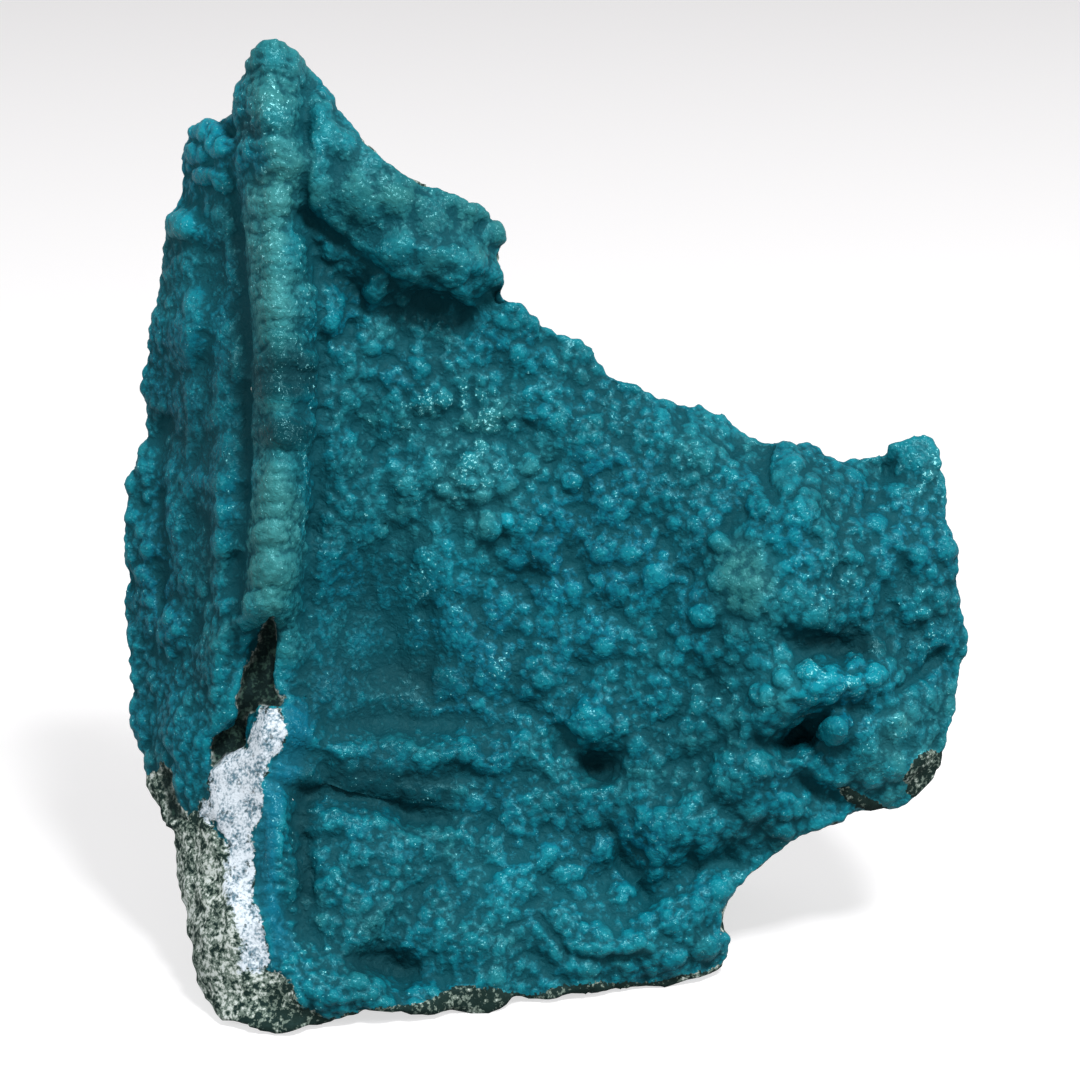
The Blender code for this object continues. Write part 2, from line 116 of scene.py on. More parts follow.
def smooth_step(t: Array) -> Array:
    """Ease from 0 to 1 as t goes from 0 to 1.

    Args:
        t: Any numbers.

    Returns:
        The eased numbers, 0 below 0 and 1 above 1.
    """
    t = np.clip(t, 0.0, 1.0)
    return t * t * (3.0 - 2.0 * t)


def wander(points: Array, wave: tuple[float, int, float]) -> Array:
    """Smooth noise at each point, eased between the random corners of a grid.

    Args:
        points: Places in millimetres, one row each.
        wave: The width of its waves in millimetres, its seed and its height.

    Returns:
        One number for each point, from -height to height.
    """
    size, seed, height = wave
    side = 64
    corners = np.random.default_rng(seed).uniform(-1.0, 1.0, (side, side, side))
    scaled = points / size + 1000.0
    low = np.floor(scaled).astype(int)
    part = smooth_step(scaled - low)
    total = np.zeros(len(points))
    for dx in (0, 1):
        for dy in (0, 1):
            for dz in (0, 1):
                at = (low + (dx, dy, dz)) % side
                weight = np.abs(1 - dx - part[:, 0]) * np.abs(1 - dy - part[:, 1])
                weight = weight * np.abs(1 - dz - part[:, 2])
                total += weight * corners[at[:, 0], at[:, 1], at[:, 2]]
    return height * total


def to_segment(u: Array, v: Array, start: tuple[float, float], end: tuple[float, float]) -> Array:
    """Distance of each point of the face from a straight line between two places."""
    du, dv = end[0] - start[0], end[1] - start[1]
    t = np.clip(((u - start[0]) * du + (v - start[1]) * dv) / (du * du + dv * dv), 0.0, 1.0)
    return np.hypot(u - start[0] - t * du, v - start[1] - t * dv)


def tree_of(points: Array) -> kdtree.KDTree:
    """A search tree of points, numbered by row."""
    tree = kdtree.KDTree(len(points))
    for i, point in enumerate(points):
        tree.insert(point, i)
    tree.balance()
    return tree


@dataclass(frozen=True)
class FaceFrame:
    """The leaning face's own axes."""

    lean: float = FACE_LEAN
    distance: float = EYE_DISTANCE

    def read(self, points: Array) -> Array:
        """Turn frame points into face points.

        Args:
            points: Rows of x, y, z in millimetres.

        Returns:
            Rows of u, v, w in millimetres.
        """
        x = points[:, 0] + CENTRED_BY[0]
        y = points[:, 1] + CENTRED_BY[1]
        z = points[:, 2] + GROUND_OFFSET - EYE_V * math.cos(self.lean)
        up = y * math.sin(self.lean) + z * math.cos(self.lean)
        w = z * math.sin(self.lean) - y * math.cos(self.lean)
        draw_in = (self.distance - w) / self.distance
        return np.stack([x / draw_in + EYE_U, up / draw_in + EYE_V, w], axis=1)

    def eye(self) -> Vector:
        """Where the eye stands, in metres."""
        y = -self.distance * math.cos(self.lean) - CENTRED_BY[1]
        z = self.distance * math.sin(self.lean) + EYE_V * math.cos(self.lean) - GROUND_OFFSET
        return Vector((-CENTRED_BY[0], y, z)) * MM


@dataclass(frozen=True)
class Patch:
    """A region of the face inside an outline of (u, v) points."""

    outline: tuple[tuple[float, float], ...]
    soft: float = 0.4
    wobble: float = 0.5

    def share(self, face: Array, sway: Array) -> Array:
        """How far each point is inside the patch.

        Args:
            face: Rows of u, v, w.
            sway: Noise that moves the patch's edge, one number a point.

        Returns:
            0 outside, 1 inside, and between over the soft edge.
        """
        u, v = face[:, 0], face[:, 1]
        inside = np.zeros(len(face), dtype=bool)
        nearest = np.full(len(face), 1e9)
        corners = self.outline
        for start, end in zip(corners, corners[1:] + corners[:1]):
            nearest = np.minimum(nearest, to_segment(u, v, start, end))
            (u0, v0), (u1, v1) = start, end
            if v1 != v0:
                crosses = (v0 > v) != (v1 > v)
                inside ^= crosses & (u < u0 + (u1 - u0) * (v - v0) / (v1 - v0))
        signed = np.where(inside, nearest, -nearest) + self.wobble * sway
        return smooth_step(signed / self.soft * 0.5 + 0.5)


@dataclass(frozen=True)
class Spot:
    """A soft oval of the face, with a strength and turned by some degrees."""

    u: float
    v: float
    half_u: float
    half_v: float
    strength: float = 1.0
    turn: float = 0.0
    edge: float = 1.4

    def share(self, face: Array) -> Array:
        """How strongly the oval holds at each point.

        Args:
            face: Rows of u, v, w.

        Returns:
            The strength at the middle, fading to 0 outside.
        """
        angle = math.radians(self.turn)
        du, dv = face[:, 0] - self.u, face[:, 1] - self.v
        along = (du * math.cos(angle) + dv * math.sin(angle)) / self.half_u
        across = (dv * math.cos(angle) - du * math.sin(angle)) / self.half_v
        return self.strength * np.exp(-(along ** 2 + across ** 2) ** self.edge)


def spots(*rows: tuple[float, ...]) -> tuple[Spot, ...]:
    """Make a spot of each row: u, v, half u, half v, strength and turn, if it is turned."""
    return tuple(Spot(*row) for row in rows)


def together(group: tuple[Spot, ...], face: Array) -> Array:
    """Add up what a group of spots gives each point."""
    return sum(spot.share(face) for spot in group)


# Regions of the face: the altered zone, the broken rock, and the hollows painted dark as shade
WHITE_ZONE = Patch((
    (26.0, 37.5), (28.1, 37.3), (28.3, 35.3), (28.1, 32.9), (26.6, 30.4), (25.8, 27.0),
    (25.2, 24.0), (25.1, 20.6), (25.4, 18.2), (26.6, 15.7), (27.1, 13.6), (26.9, 11.8),
    (26.0, 10.8), (24.2, 11.1), (24.3, 14.8), (22.9, 17.6), (22.6, 21.2), (22.6, 24.0),
    (21.1, 25.8), (19.9, 26.7), (20.8, 28.6), (21.1, 30.4), (22.8, 33.3), (24.5, 33.5),
    (24.8, 35.6),
), soft=0.5, wobble=0.7)
BARE_ROCK = Patch((
    (16.6, 31.0), (16.9, 28.5), (18.6, 26.4), (19.9, 26.7), (22.6, 24.0), (24.9, 20.0),
    (26.0, 14.0), (26.6, 10.9), (28.1, 10.2), (30.6, 7.5), (34.3, 5.9), (36.0, 3.0),
    (10.0, 2.0), (10.0, 30.0),
), soft=0.4, wobble=0.5)
RIB_CAVITY = Patch((
    (27.1, 46.3), (27.8, 43.9), (27.7, 42.0), (27.2, 40.5), (28.6, 38.4), (28.2, 37.4),
    (26.0, 37.4), (24.8, 35.6), (24.5, 33.5), (22.8, 33.3), (21.1, 31.6), (21.6, 34.1),
    (23.2, 35.6), (23.9, 37.8), (24.5, 40.8), (25.7, 43.0), (26.3, 45.1),
), soft=0.35, wobble=0.45)
WING_CRACK = Patch((
    (16.0, 31.6), (16.4, 31.4), (17.4, 28.0), (18.6, 26.0), (16.9, 26.0), (16.2, 28.6),
), soft=0.3, wobble=0.3)
BOTTOM_BAND = Patch((
    (34.0, 6.4), (36.5, 6.6), (39.0, 7.3), (42.0, 7.8), (43.7, 8.6), (46.2, 9.3),
    (48.7, 9.4), (50.9, 8.8), (52.9, 8.3), (55.4, 9.0), (57.0, 9.4), (59.4, 9.7),
    (61.9, 9.5), (65.6, 9.8), (69.1, 10.4), (71.8, 11.3), (74.0, 12.6), (74.0, 2.0),
    (34.0, 2.0),
), soft=0.35, wobble=0.35)
BITE_EDGE = Patch((
    (71.9, 16.9), (72.7, 18.3), (73.9, 19.7), (76.0, 21.4), (78.5, 22.9), (80.8, 24.5),
    (83.6, 25.9), (86.0, 26.4), (86.0, 20.0), (72.0, 14.6),
), soft=0.3, wobble=0.2)
CORNER_ROCK = Patch((
    (92.5, 32.6), (94.8, 33.0), (96.0, 31.0), (94.2, 28.0), (91.5, 27.0), (90.6, 28.6),
    (90.5, 30.0), (91.5, 31.0),
), soft=0.3, wobble=0.5)
BLOCK_SEAM = Patch((
    (83.4, 29.2), (85.4, 29.0), (87.8, 27.6), (89.6, 27.1), (87.4, 26.9), (84.8, 27.8),
), soft=0.3, wobble=0.3)

# The crust's broken rim beside the white zone
CRUST_RIM = Patch((
    (28.3, 37.6), (30.2, 37.8), (31.6, 36.2), (31.4, 34.4), (30.6, 32.0), (28.6, 29.4),
    (27.8, 25.0), (27.7, 20.6), (28.4, 16.6), (29.6, 13.0), (27.4, 11.6), (26.8, 15.7),
    (25.4, 18.2), (25.2, 24.0), (26.6, 30.4), (28.1, 33.0),
), soft=0.5, wobble=0.2)

# The rib's crest from top to foot, and its bands as (v, half height, rise)
RIB_CREST = ((104.5, 27.0), (96.0, 26.4), (90.0, 26.6), (86.0, 27.2), (82.0, 28.0),
             (76.0, 28.3), (68.0, 28.3), (60.0, 28.0), (52.5, 27.2), (45.0, 26.6))
RIB_HALF_WIDTH = 3.2
RIB_FINE_PITCH = 1.15
RIB_FINE_RISE = 0.16
RIB_BANDS = (
    (102.4, 2.3, 0.3), (97.6, 2.6, 0.6), (92.9, 1.9, 0.3), (90.2, 1.3, 0.2), (87.9, 1.4, 0.3),
    (85.6, 1.3, 0.2), (83.3, 1.4, 0.3), (80.7, 1.9, 0.4), (77.2, 1.5, 0.3), (74.6, 1.3, 0.3),
    (71.9, 1.6, 0.4), (69.0, 1.5, 0.5), (66.2, 1.5, 0.4), (63.6, 1.3, 0.3), (60.9, 1.7, 0.4),
    (57.8, 1.6, 0.4), (54.9, 1.7, 0.4), (51.8, 1.6, 0.4), (49.0, 1.4, 0.3), (46.9, 1.0, 0.2),
)

# Lone lumps that stand out, as (u, v, half width, half height, rise)
LONE_LUMPS = (
    (37.5, 79.0, 1.3, 1.3, 0.6), (83.3, 34.9, 1.3, 1.4, 0.8), (18.0, 85.6, 1.6, 1.7, 0.5),
    (21.8, 93.6, 1.4, 1.5, 0.8), (19.6, 92.6, 1.1, 1.2, 0.7), (20.4, 90.4, 1.5, 1.1, 0.7),
    (22.2, 89.6, 1.0, 1.2, 0.6), (49.6, 84.6, 1.4, 1.3, 0.6), (48.0, 87.0, 1.4, 1.1, 0.5),
    (76.2, 38.6, 1.2, 1.3, 0.8), (78.3, 40.3, 1.2, 1.2, 0.8), (80.6, 41.0, 1.2, 1.1, 0.8),
    (85.4, 41.9, 1.1, 1.0, 0.8), (87.6, 40.4, 1.2, 1.1, 0.8), (78.6, 61.0, 1.7, 2.6, 0.6),
    (80.8, 57.6, 1.4, 1.9, 0.6), (75.8, 57.4, 1.3, 1.4, 0.7), (70.4, 46.4, 1.4, 1.3, 0.8),
    (52.9, 61.6, 1.3, 1.2, 0.8), (57.2, 59.8, 1.1, 1.1, 0.7), (49.0, 55.6, 1.2, 1.9, 0.7),
    (50.7, 56.0, 0.8, 0.8, 0.6), (20.6, 94.9, 1.8, 1.2, 0.8), (72.0, 53.8, 1.1, 1.2, 0.7),
)

# Narrow grooves as (path of (u, v), half width, depth)
GROOVES = (
    (((22.9, 95.0), (23.0, 90.0), (23.4, 84.0), (23.9, 76.0), (24.4, 66.0), (24.3, 56.0),
      (23.6, 47.0)), 0.8, 0.7),
    (((31.4, 86.0), (31.8, 80.0), (32.0, 70.0), (31.6, 60.0), (31.0, 48.0)), 0.9, 0.4),
    (((30.5, 86.5), (34.5, 83.0), (38.0, 79.6), (43.0, 77.9), (47.0, 76.4), (50.4, 78.4)), 0.9, 0.9),
    (((16.2, 66.0), (15.4, 60.0), (16.4, 52.0), (15.6, 47.0)), 0.7, 0.6),
    (((61.0, 25.0), (62.4, 21.5), (64.8, 18.6)), 0.7, 0.9),
    (((54.0, 16.5), (56.6, 12.5), (60.5, 11.6), (64.5, 12.2)), 0.6, 0.7),
    (((88.3, 38.2), (90.5, 39.2), (92.8, 41.0), (94.4, 43.0)), 0.6, 0.7),
)

# Soft swellings of the crust, as rises in millimetres
FILLS = spots(
    (31.8, 92.0, 1.6, 5.6, 1.3, -4.0), (34.5, 29.4, 6.0, 1.3, 1.3, -12.0),
    (32.0, 98.0, 1.6, 4.0, 0.6, 30.0), (92.0, 43.4, 1.6, 1.2, 0.6, 35.0),
)

# Where the left wing's crust stands in upright columns
WING_COLUMNS = Spot(19.6, 68.0, 4.2, 24.0, 0.55)
COLUMN_STRETCH = (1.0, 0.16, 0.0)

# Where the crust is paler (+) or deeper (-) than its usual colour: partly its own tone, and partly
# painted shade in hollows, grooves and under the pillow and the ledge
TONES_AND_PAINTED_SHADE = spots(
    (27.0, 86.0, 2.9, 12.0, 0.55), (27.8, 76.5, 2.6, 3.4, 0.35), (27.6, 55.0, 2.7, 8.0, 0.60),
    (28.2, 70.6, 2.8, 3.6, -1.35), (28.2, 64.6, 2.8, 1.5, -1.30), (28.2, 67.4, 2.4, 0.7, 1.10),
    (25.9, 95.0, 2.6, 0.9, -0.75), (19.8, 91.0, 3.2, 4.6, 0.45), (18.0, 85.6, 2.0, 2.0, 0.40),
    (19.6, 78.0, 3.4, 8.0, 0.05), (20.0, 64.0, 4.0, 9.0, -0.35), (23.6, 74.0, 1.2, 24.0, -0.35),
    (39.0, 43.0, 9.0, 11.0, -0.15), (38.0, 36.0, 10.0, 2.0, -0.35, -3.0),
    (38.0, 27.8, 9.0, 1.8, -0.75, -10.0), (40.5, 77.4, 9.0, 1.6, -0.60, -20.0),
    (45.0, 61.0, 7.0, 8.0, 0.25, 30.0), (74.0, 51.0, 4.5, 4.5, 0.18), (83.2, 39.6, 6.6, 2.4, 0.45, 6.0),
    (89.4, 33.4, 5.0, 4.6, 0.30, 35.0), (83.4, 43.4, 4.4, 1.4, -0.85, -4.0),
    (80.8, 34.4, 2.0, 1.6, -1.00), (66.0, 14.0, 8.0, 4.0, 0.20, 8.0),
    (38.4, 11.6, 4.4, 1.6, -0.95, -10.0), (60.0, 31.0, 2.4, 1.6, -0.9, 20.0),
    (30.6, 24.0, 1.2, 9.0, -0.7), (20.6, 94.0, 2.2, 2.2, 0.60), (50.7, 56.0, 0.8, 0.8, 1.60),
    (38.0, 30.0, 9.0, 1.6, -0.90, -6.0), (81.0, 40.6, 4.0, 2.4, 0.45), (38.0, 40.0, 9.0, 2.6, -0.55),
    (45.5, 52.0, 2.0, 5.0, 0.35, 35.0), (29.6, 22.6, 1.2, 7.0, -0.5), (84.6, 43.9, 4.0, 1.8, -0.75),
)

# Where the crust leans to grey-green (+) or to blue (-)
HUES = spots(
    (27.4, 80.0, 3.0, 24.0, 0.75), (27.4, 53.0, 3.0, 8.0, 0.90), (40.0, 88.0, 12.0, 7.0, 0.70, -33.0),
    (74.0, 51.0, 4.0, 4.0, 0.90), (45.0, 62.0, 8.0, 8.0, 0.35, 30.0), (35.0, 14.0, 5.0, 5.0, 0.40),
    (19.0, 93.0, 3.0, 4.0, -0.80), (79.0, 53.0, 3.0, 3.0, -0.70), (84.0, 39.0, 6.0, 3.0, -0.60),
    (89.0, 57.0, 6.0, 6.0, -0.30), (60.0, 50.0, 9.0, 12.0, -0.45), (15.5, 45.0, 3.0, 12.0, -0.40),
    (60.0, 20.0, 12.0, 8.0, -0.35), (25.6, 92.0, 1.6, 1.6, -0.9), (48.0, 42.0, 6.0, 9.0, -0.3),
    (20.0, 94.0, 3.0, 3.0, -0.7), (50.7, 56.0, 1.0, 1.0, -0.6),
)

# Where the broken rock is darker
ROCK_SHADES = spots(
    (56.0, 8.4, 24.0, 4.6, 1.0, 3.0), (30.0, 6.4, 9.0, 2.6, 0.6, 14.0), (18.0, 28.0, 2.6, 3.4, 0.7),
    (93.0, 30.0, 4.0, 4.0, 0.8), (85.5, 28.4, 4.4, 2.8, 1.0), (80.0, 22.0, 9.0, 5.0, 0.8, 30.0),
)

# Where glints of fine crystals are painted on the crust's lit tops
PAINTED_GLINT_SPOTS = spots(
    (45.0, 65.0, 6.5, 7.0, 0.9, 20.0), (43.5, 48.0, 4.0, 5.0, 0.7), (50.5, 42.0, 2.0, 2.0, 0.8),
    (30.4, 70.0, 1.2, 25.0, 0.6), (27.0, 84.0, 2.6, 12.0, 0.5), (31.0, 11.5, 3.5, 4.0, 0.6),
    (88.0, 34.5, 3.5, 3.5, 0.6), (92.5, 46.0, 2.5, 4.0, 0.5), (82.5, 40.0, 4.5, 2.5, 0.8),
    (83.0, 49.2, 4.0, 2.4, 0.7), (93.0, 60.0, 2.0, 4.0, 0.7), (72.0, 38.2, 2.0, 1.4, 0.8),
    (26.5, 96.5, 2.6, 4.0, 0.6),
)

# Where the bubbles are finer (-) or coarser (+), and where they stand lower (-)
BUBBLE_SIZES = spots(
    (38.5, 43.0, 10.0, 12.0, -0.50), (27.5, 74.0, 3.0, 30.0, -0.35), (20.5, 68.0, 4.5, 22.0, -0.25),
    (40.0, 88.0, 13.0, 8.0, -0.40, -33.0), (80.0, 46.0, 16.0, 16.0, 0.25), (40.0, 18.0, 12.0, 9.0, -0.15),
    (50.0, 58.0, 16.0, 14.0, 0.15, -30.0),
)
BUBBLE_GAINS = spots(
    (38.5, 43.0, 9.5, 12.0, -0.50), (27.3, 76.0, 3.4, 34.0, -0.55), (89.0, 32.5, 4.0, 4.5, -0.65, 35.0),
    (20.5, 68.0, 4.5, 22.0, -0.65), (30.5, 30.0, 2.5, 9.0, -0.40), (40.0, 88.0, 13.0, 8.0, -0.50, -33.0),
    (74.0, 51.0, 3.6, 3.6, -0.50), (91.5, 61.5, 4.0, 3.0, -0.50),
)


@dataclass(frozen=True)
class BubbleSize:
    """One size of bubble: how many places are tried and how close to others it may stand."""

    radius: float
    tries: int
    room: float


@dataclass(frozen=True)
class Bubbles:
    """Round bubbles on the crust, the large ones first and smaller ones in the room left.

    A bubble is the top of a ball. Its bulge is the square of the ball's radius over the
    bubble's: near 1 it is half a ball, and above that it is flatter.
    """

    sizes: tuple[BubbleSize, ...]
    spread: float
    rise: float
    bulge: float
    seed: int
    reach: float = 1.3
    cell_share: float = 2.6
    unlike: tuple[float, float] = (0.75, 1.15)
    sway: float = 0.18
    sway_width: float = 0.8

    def grow(self, points: Array, crust: Array, size: Array) -> Array:
        """Settle bubbles on the crust and measure how they stand above it.

        Args:
            points: Surface points in millimetres.
            crust: How much of each point is crust.
            size: Bubble size at each point, as a share of the usual.

        Returns:
            Two columns: the height of the highest bubble at each point in millimetres, and
            that bubble's own tint from -1 to 1.
        """
        draw = random.Random(self.seed)
        tree = tree_of(points)
        ground = np.flatnonzero(crust > 0.5)
        uneven = 1.0 + wander(points, (self.sway_width, self.seed, self.sway))
        top, edge = math.sqrt(self.bulge), math.sqrt(self.bulge - 1.0)
        settled: dict[tuple[int, int, int], list[tuple[float, float, float, float]]] = {}
        cell = self.sizes[0].radius * self.cell_share
        result = np.zeros((len(points), 2))
        for kind in self.sizes:
            for _ in range(kind.tries):
                i = int(ground[draw.randrange(len(ground))])
                centre = points[i]
                radius = kind.radius * float(size[i]) * math.exp(draw.gauss(0.0, self.spread))
                key = tuple(int(math.floor(c / cell)) for c in centre)
                if self._crowded(settled, key, centre, radius, kind.room):
                    continue
                settled.setdefault(key, []).append((*centre, radius))
                found = tree.find_range(Vector(centre), radius * self.reach)
                index = np.array([item[1] for item in found])
                gap = np.array([item[2] for item in found]) / radius * uneven[index]
                cap = (np.sqrt(np.clip(self.bulge - gap * gap, 0.0, None)) - edge) / (top - edge)
                height = cap * radius * self.rise * draw.uniform(*self.unlike)
                better = height > result[index, 0]
                result[index[better], 0] = height[better]
                result[index[better], 1] = draw.uniform(-1.0, 1.0)
        return result

    @staticmethod
    def _crowded(settled: dict, key: tuple, centre: Array, radius: float, room: float) -> bool:
        """Whether a new bubble would stand too close to one that has settled."""
        for dx in (-1, 0, 1):
            for dy in (-1, 0, 1):
                for dz in (-1, 0, 1):
                    for x, y, z, other in settled.get((key[0] + dx, key[1] + dy, key[2] + dz), ()):
                        gap = math.dist((x, y, z), centre)
                        if gap < room * (radius + other):
                            return True
        return False


@dataclass(frozen=True)
class CrustFinish:
    """Waxy chrysocolla, linear colours, some of them painted light and shade."""

    # Painted shade for the creases and hollows
    crease: Colour = (0.0014, 0.054, 0.073, 1.0)
    body: Colour = (0.002, 0.108, 0.148, 1.0)
    # Painted light for the bubbles' tops
    top: Colour = (0.006, 0.200, 0.255, 1.0)
    moss: Colour = (0.026, 0.175, 0.185, 1.0)
    pale: Colour = (0.060, 0.285, 0.295, 1.0)
    bright: Colour = (0.004, 0.285, 0.370, 1.0)
    # The rib's dark patch, and painted shade in hollows, grooves and under the pillow and the ledge
    deep: Colour = (0.0015, 0.030, 0.040, 1.0)
    rim: Colour = (0.004, 0.135, 0.215, 1.0)
    green: Colour = (0.016, 0.135, 0.145, 1.0)
    blue: Colour = (0.001, 0.120, 0.200, 1.0)
    # Painted glints on the lit tops
    painted_glint_colour: Colour = (0.260, 0.720, 0.760, 1.0)
    roughness: float = 0.21
    sheen: Colour = (0.35, 0.88, 0.94, 1.0)


@dataclass(frozen=True)
class RockFinish:
    """Speckled matrix and the white altered zone, linear colours."""

    dark: Colour = (0.010, 0.020, 0.016, 1.0)
    green: Colour = (0.150, 0.200, 0.165, 1.0)
    light: Colour = (0.620, 0.680, 0.640, 1.0)
    white: Colour = (0.720, 0.790, 0.860, 1.0)
    stained: Colour = (0.130, 0.220, 0.280, 1.0)
    brown: Colour = (0.064, 0.048, 0.036, 1.0)
    malachite: Colour = (0.012, 0.095, 0.060, 1.0)
    # Near black, painted shade in the hollow under the rib and in the crack
    void: Colour = (0.004, 0.007, 0.006, 1.0)
    moss: Colour = (0.030, 0.060, 0.045, 1.0)
    slate: Colour = (0.060, 0.080, 0.068, 1.0)
    copper: Colour = (0.014, 0.150, 0.125, 1.0)


@dataclass(frozen=True)
class Gloss:
    """How light meets the stone, and how high its finest grain stands in millimetres."""

    bending: float = 1.46
    level: float = 0.32
    grain_strength: float = 0.7
    grain_height: float = 0.16


@dataclass(frozen=True)
class Relief:
    """How the surface is moved, in millimetres and shares."""

    crust_depth: float = 2.2
    crust_fade: float = 0.6
    crust_sink: float = 0.65
    crease_floor: float = 0.10
    gain_range: tuple[float, float] = (0.15, 1.3)
    rim_calm: float = 0.6
    rim_sway: float = 0.3
    white_calm: float = 0.6
    grit_sink: float = 0.25
    back_from: float = 3.0
    back_fade: float = 4.0
    back_sway: float = 0.3
    back_sink: float = 0.5
    cavity_depth: float = 0.5
    foot_ease: float = 1.2
    foot_share: float = 0.15
    column: float = 0.6
    rub_rounds: int = 14
    normal_rounds: int = 14
    near_rounds: int = 5
    wide_rounds: int = 60


@dataclass
class Bench:
    """A material's node tree, with short ways to place and join nodes."""

    tree: bpy.types.NodeTree

    def node(self, kind: str, **settings: object) -> bpy.types.Node:
        """Place a node and set its own properties."""
        made = self.tree.nodes.new(kind)
        for name, value in settings.items():
            setattr(made, name, value)
        return made

    def feed(self, socket: Socket, value: object) -> None:
        """Join a socket to another, or give it a plain value."""
        if isinstance(value, Socket):
            self.tree.links.new(value, socket)
        else:
            socket.default_value = value

    def attribute(self, layer: Layer) -> Socket:
        """Read one of the piece's own vertex layers."""
        return self.node("ShaderNodeAttribute", attribute_name=layer.value).outputs["Fac"]

    def math(self, how: str, a: object, b: object = 0.0, clamp: bool = False) -> Socket:
        """Combine two numbers."""
        made = self.node("ShaderNodeMath", operation=how, use_clamp=clamp)
        self.feed(made.inputs[0], a)
        self.feed(made.inputs[1], b)
        return made.outputs[0]

    def total(self, *parts: object) -> Socket:
        """Add numbers up."""
        result = parts[0]
        for part in parts[1:]:
            result = self.math("ADD", result, part)
        return result

    def blend(self, share: object, a: object, b: object) -> Socket:
        """Blend two numbers."""
        made = self.node("ShaderNodeMix", data_type="FLOAT")
        self.feed(made.inputs[0], share)
        self.feed(made.inputs[2], a)
        self.feed(made.inputs[3], b)
        return made.outputs[0]

    def mix(self, share: object, a: object, b: object) -> Socket:
        """Blend two colours."""
        made = self.node("ShaderNodeMix", data_type="RGBA")
        self.feed(made.inputs[0], share)
        self.feed(made.inputs[6], a)
        self.feed(made.inputs[7], b)
        return made.outputs[2]

    def remap(self, value: object, low: float, high: float, to_low: float = 0.0,
              to_high: float = 1.0) -> Socket:
        """Stretch a number from one range to another, and clamp it there."""
        made = self.node("ShaderNodeMapRange", clamp=True)
        self.feed(made.inputs["Value"], value)
        made.inputs["From Min"].default_value = low
        made.inputs["From Max"].default_value = high
        made.inputs["To Min"].default_value = to_low
        made.inputs["To Max"].default_value = to_high
        return made.outputs["Result"]

    def grain(self, where: Socket, per_mm: float, detail: float = 3.0,
              roughness: float = 0.55) -> Socket:
        """Cloudy noise with so many waves a millimetre."""
        made = self.node("ShaderNodeTexNoise")
        self.feed(made.inputs["Vector"], where)
        made.inputs["Scale"].default_value = per_mm
        made.inputs["Detail"].default_value = detail
        made.inputs["Roughness"].default_value = roughness
        return made.outputs["Fac"]

    def swayed(self, where: Socket, per_mm: float, reach: float) -> Socket:
        """Coordinates moved about by cloudy noise, so many millimetres either way."""
        cloud = self.node("ShaderNodeTexNoise")
        self.feed(cloud.inputs["Vector"], where)
        cloud.inputs["Scale"].default_value = per_mm
        made = self.node("ShaderNodeVectorMath", operation="MULTIPLY_ADD")
        self.feed(made.inputs[0], cloud.outputs["Color"])
        self.feed(made.inputs[1], (2.0 * reach,) * 3)
        self.feed(made.inputs[2], where)
        return made.outputs[0]

    def cells(self, where: Socket, per_mm: float) -> bpy.types.Node:
        """Round cells, so many a millimetre."""
        made = self.node("ShaderNodeTexVoronoi")
        self.feed(made.inputs["Vector"], where)
        made.inputs["Scale"].default_value = per_mm
        return made


